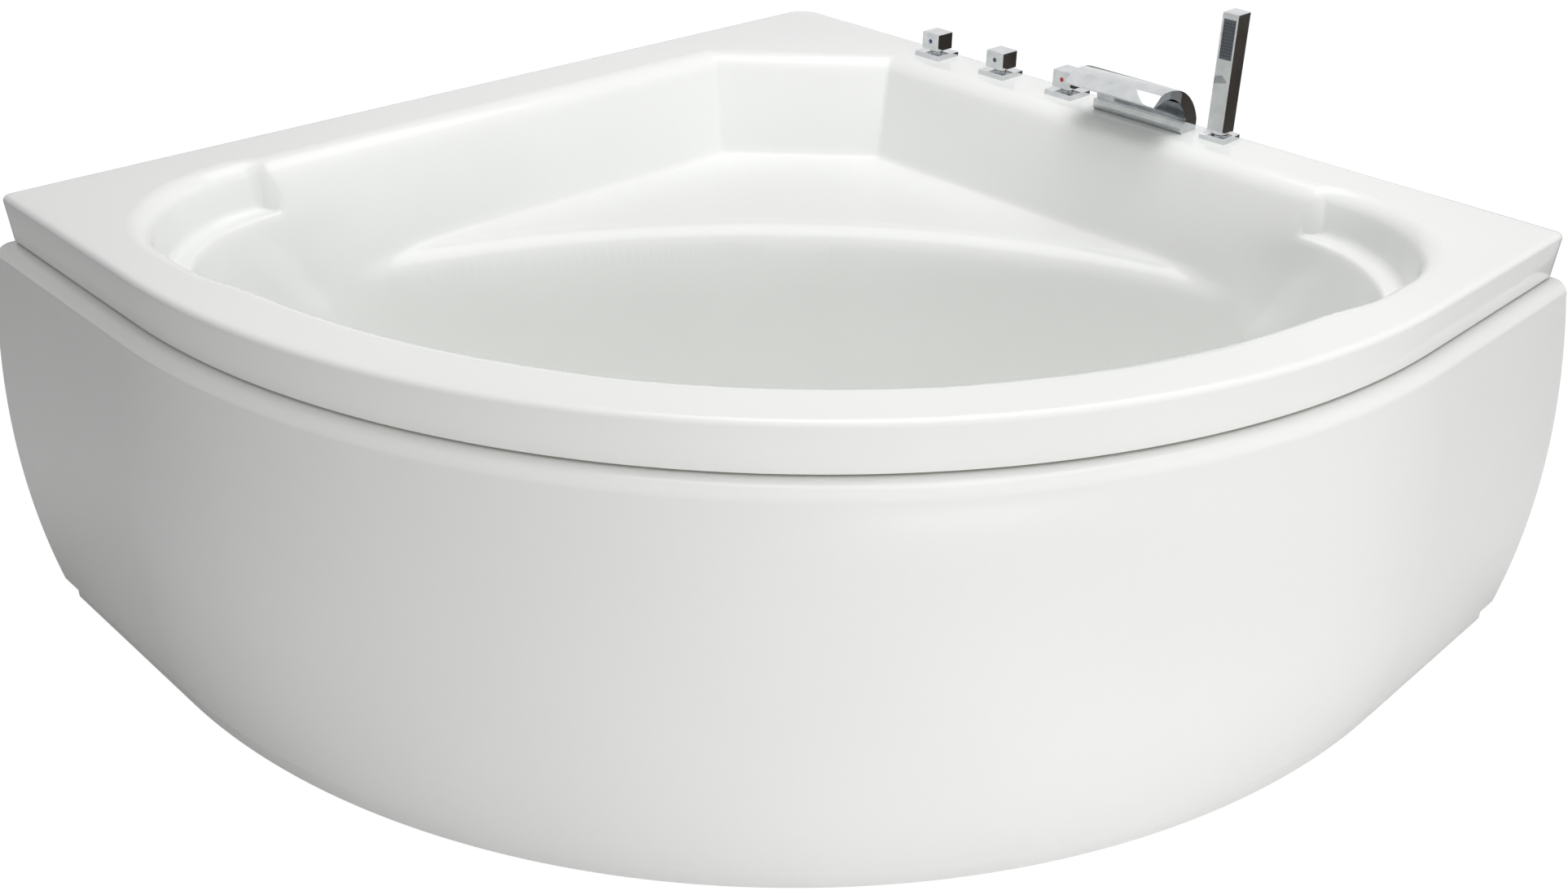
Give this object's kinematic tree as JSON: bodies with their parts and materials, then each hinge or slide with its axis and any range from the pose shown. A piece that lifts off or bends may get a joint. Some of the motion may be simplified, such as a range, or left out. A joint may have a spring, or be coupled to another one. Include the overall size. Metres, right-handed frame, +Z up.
{
  "type": "corner bathtub",
  "caption": "Symmetrical corner bath with moulded seat, bowed front panel, deck taps, waterfall spout and hand shower.",
  "frame": {"origin": "centre of the bounding box at floor level", "axes": "+Z up; front panel faces -Y, the room corner is at +Y; +X is to the right seen from the front, and X = 0 is the plane of symmetry of the shell"},
  "size_m": [2.052, 1.5729, 0.785],
  "materials": {
    "acrylic": "high gloss",
    "board": "matt",
    "galvanised_steel": "satin",
    "black_plastic": "matt",
    "white_plastic": "satin",
    "rubber": "matt",
    "chrome": "mirror",
    "brass": "satin",
    "copper_pipe": "satin",
    "marker_blue": "gloss",
    "marker_red": "gloss",
    "marker_grey": "gloss",
    "spray_grey": "satin",
    "nozzle_rubber": "matt"
  },
  "bodies": {
    "bath": {"base_board": "board", "board_screws": "galvanised_steel", "centre_rail_back": "galvanised_steel", "centre_rail_front": "galvanised_steel", "cold_escutcheon": "chrome", "cold_link_pipe": "copper_pipe", "cold_valve_body": "brass", "diverter_escutcheon": "chrome", "diverter_valve_body": "brass", "front_cross_rail": "galvanised_steel", "front_panel": "acrylic", "hot_escutcheon": "chrome", "hot_link_pipe": "copper_pipe", "hot_valve_body": "brass", "leg_nuts": "galvanised_steel", "outlet_pipe": "white_plastic", "overflow_body": "white_plastic", "overflow_gasket": "rubber", "overflow_pipe": "white_plastic", "overflow_ring": "chrome", "panel_hangers": "galvanised_steel", "panel_stays": "galvanised_steel", "rear_cross_rail": "galvanised_steel", "shower_escutcheon": "chrome", "shower_feed_pipe": "copper_pipe", "shower_socket": "brass", "spout_base": "chrome", "spout_feed_pipe": "copper_pipe", "spout_hood": "chrome", "spout_shank": "brass", "tap_back_nuts": "brass", "trap_cup": "white_plastic", "tub_shell": "acrylic", "wall_brackets": "galvanised_steel", "waste_body": "white_plastic", "waste_flange": "chrome", "waste_gasket": "rubber"},
    "cold_tap": {"cold_handle": "chrome", "cold_marker": "marker_blue"},
    "diverter_tap": {"diverter_handle": "chrome", "diverter_marker": "marker_grey"},
    "hot_tap": {"hot_handle": "chrome", "hot_marker": "marker_red"},
    "hand_shower": {"hand_shower_body": "chrome", "spray_plate": "spray_grey", "spray_nozzles": "nozzle_rubber"},
    "overflow_control": {"overflow_knob": "chrome"},
    "plug": {"waste_plug": "chrome"},
    "foot_1": {"foot_rod_1": "galvanised_steel", "foot_pad_1": "black_plastic"},
    "foot_2": {"foot_rod_2": "galvanised_steel", "foot_pad_2": "black_plastic"},
    "foot_3": {"foot_rod_3": "galvanised_steel", "foot_pad_3": "black_plastic"},
    "foot_4": {"foot_rod_4": "galvanised_steel", "foot_pad_4": "black_plastic"},
    "foot_5": {"foot_rod_5": "galvanised_steel", "foot_pad_5": "black_plastic"}
  },
  "joints": [
    {"name": "cold_turn", "type": "hinge", "parent": "bath", "child": "cold_tap", "pos_m": [0.22132, 0.52951, 0.6245], "axis": [0, 0, 1], "range_deg": [0, 90]},
    {"name": "diverter_turn", "type": "hinge", "parent": "bath", "child": "diverter_tap", "pos_m": [0.31749, 0.43335, 0.6245], "axis": [0, 0, 1], "range_deg": [0, 90]},
    {"name": "hot_turn", "type": "hinge", "parent": "bath", "child": "hot_tap", "pos_m": [0.41224, 0.3386, 0.6245], "axis": [0, 0, 1], "range_deg": [-90, 0]},
    {"name": "hand_shower_lift", "type": "slide", "parent": "bath", "child": "hand_shower", "axis": [0, 0, 1], "range_m": [0, 0.25]},
    {"name": "overflow_turn", "type": "hinge", "parent": "bath", "child": "overflow_control", "pos_m": [0, -0.6282, 0.518], "axis": [0, 0.9731, 0.2302], "range_deg": [0, 90]},
    {"name": "plug_lift", "type": "slide", "parent": "bath", "child": "plug", "axis": [0, 0, 1], "range_m": [0, 0.01]},
    {"name": "foot_1_adjust", "type": "slide", "parent": "bath", "child": "foot_1", "axis": [0, 0, -1], "range_m": [0, 0.02]},
    {"name": "foot_2_adjust", "type": "slide", "parent": "bath", "child": "foot_2", "axis": [0, 0, -1], "range_m": [0, 0.02]},
    {"name": "foot_3_adjust", "type": "slide", "parent": "bath", "child": "foot_3", "axis": [0, 0, -1], "range_m": [0, 0.02]},
    {"name": "foot_4_adjust", "type": "slide", "parent": "bath", "child": "foot_4", "axis": [0, 0, -1], "range_m": [0, 0.02]},
    {"name": "foot_5_adjust", "type": "slide", "parent": "bath", "child": "foot_5", "axis": [0, 0, -1], "range_m": [0, 0.02]}
  ],
  "couplings": [
    {"joint": "plug_lift", "follows": "overflow_turn", "m_per_rad": 0.006366}
  ]
}
